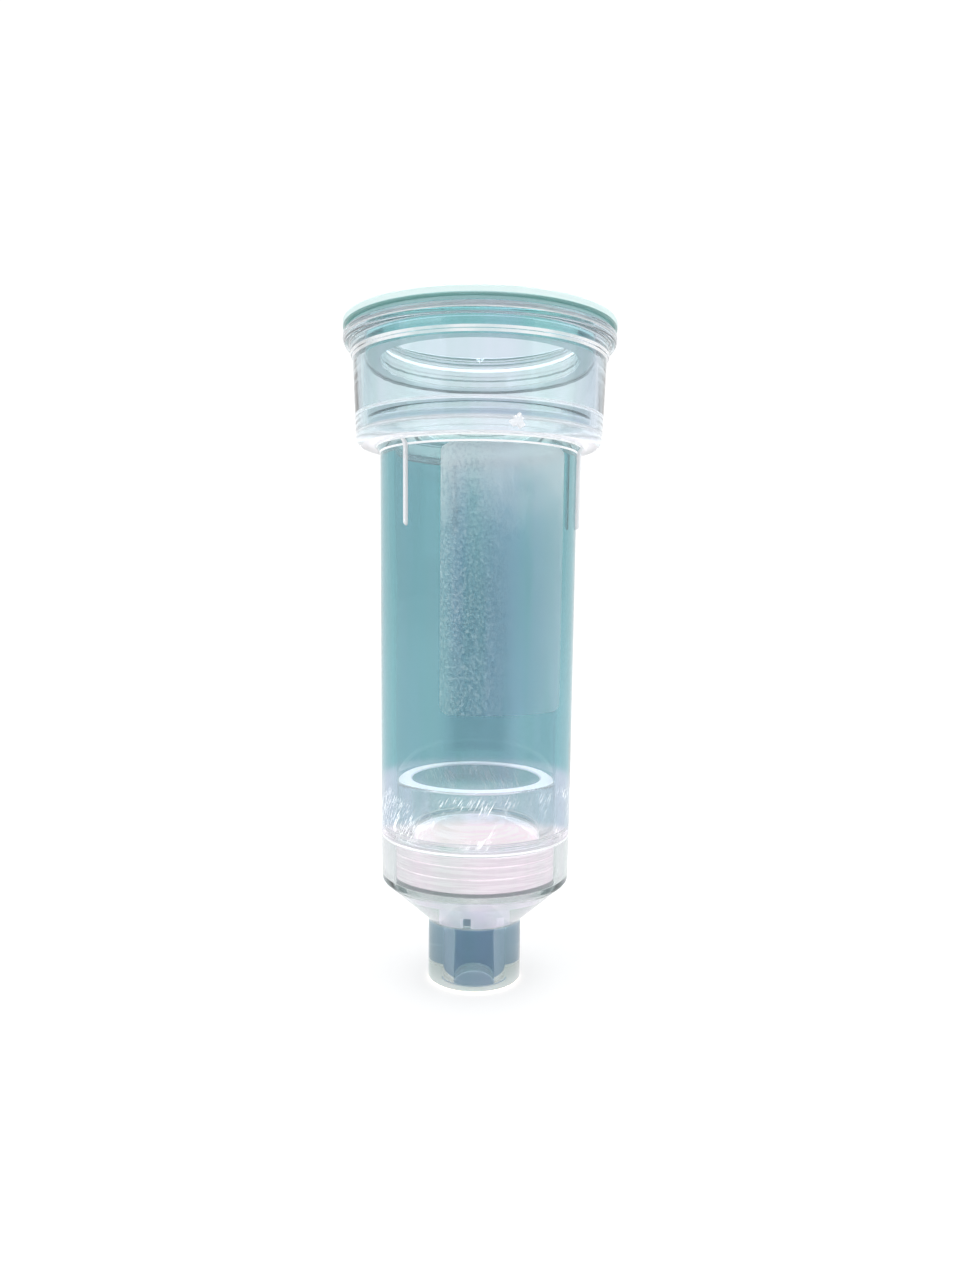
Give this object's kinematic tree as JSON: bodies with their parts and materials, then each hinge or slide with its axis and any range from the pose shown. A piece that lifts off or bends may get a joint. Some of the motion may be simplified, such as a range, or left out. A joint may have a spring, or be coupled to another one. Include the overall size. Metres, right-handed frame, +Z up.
{
  "type": "carbon dioxide diffuser",
  "caption": "Clear stepped tube with a wide lipped collar, a porous disc pack held by a ring in its base, and a gas inlet spout below.",
  "frame": {"origin": "centre of the inlet spout's open lower end, where the gas inlet bore begins", "axes": "+Z up along the tube's axis, from the inlet spout to the mouth; -Y is the front, where the matte label faces"},
  "size_m": [0.03, 0.03, 0.0731],
  "materials": {
    "clear_plastic": "polished, clear with a faint blue-green tint",
    "matte_film": "frosted, finely speckled",
    "clear_silicone": "translucent, satin",
    "white_silicone": "white, satin",
    "grey_silicone": "grey, satin",
    "porous_ceramic": "fine porous, pinkish white",
    "support_plastic": "milky, satin"
  },
  "bodies": {
    "root": {"base_funnel": "clear_plastic", "tube": "clear_plastic", "matte_label": "matte_film", "collar": "clear_plastic", "collar_seal": "clear_silicone"},
    "mouth_ring": {"mouth_ring": "clear_plastic"},
    "mouth_gasket": {"mouth_gasket": "clear_silicone"},
    "retaining_ring": {"retaining_ring": "clear_plastic"},
    "upper_disc_seal": {"upper_disc_seal": "white_silicone"},
    "fine_disc": {"fine_disc": "porous_ceramic"},
    "middle_disc": {"middle_disc": "porous_ceramic"},
    "coarse_disc": {"coarse_disc": "porous_ceramic"},
    "lower_disc_seal": {"lower_disc_seal": "grey_silicone"},
    "support_grid": {"support_grid": "support_plastic"}
  },
  "joints": [
    {"name": "mouth_ring_lift", "type": "slide", "parent": "root", "child": "mouth_ring", "axis": [0, 0, 1], "range_m": [0, 0.012]},
    {"name": "mouth_gasket_lift", "type": "slide", "parent": "root", "child": "mouth_gasket", "axis": [0, 0, 1], "range_m": [0, 0.006]},
    {"name": "retaining_ring_lift", "type": "slide", "parent": "root", "child": "retaining_ring", "axis": [0, 0, 1], "range_m": [0, 0.084]},
    {"name": "upper_disc_seal_lift", "type": "slide", "parent": "root", "child": "upper_disc_seal", "axis": [0, 0, 1], "range_m": [0, 0.08148]},
    {"name": "fine_disc_lift", "type": "slide", "parent": "root", "child": "fine_disc", "axis": [0, 0, 1], "range_m": [0, 0.07896]},
    {"name": "middle_disc_lift", "type": "slide", "parent": "root", "child": "middle_disc", "axis": [0, 0, 1], "range_m": [0, 0.07644]},
    {"name": "coarse_disc_lift", "type": "slide", "parent": "root", "child": "coarse_disc", "axis": [0, 0, 1], "range_m": [0, 0.07392]},
    {"name": "lower_disc_seal_lift", "type": "slide", "parent": "root", "child": "lower_disc_seal", "axis": [0, 0, 1], "range_m": [0, 0.0714]},
    {"name": "support_grid_lift", "type": "slide", "parent": "root", "child": "support_grid", "axis": [0, 0, 1], "range_m": [0, 0.0672]}
  ],
  "couplings": [
    {"joint": "mouth_gasket_lift", "follows": "mouth_ring_lift", "ratio": 0.5},
    {"joint": "upper_disc_seal_lift", "follows": "retaining_ring_lift", "ratio": 0.97},
    {"joint": "fine_disc_lift", "follows": "retaining_ring_lift", "ratio": 0.94},
    {"joint": "middle_disc_lift", "follows": "retaining_ring_lift", "ratio": 0.91},
    {"joint": "coarse_disc_lift", "follows": "retaining_ring_lift", "ratio": 0.88},
    {"joint": "lower_disc_seal_lift", "follows": "retaining_ring_lift", "ratio": 0.85},
    {"joint": "support_grid_lift", "follows": "retaining_ring_lift", "ratio": 0.8}
  ]
}
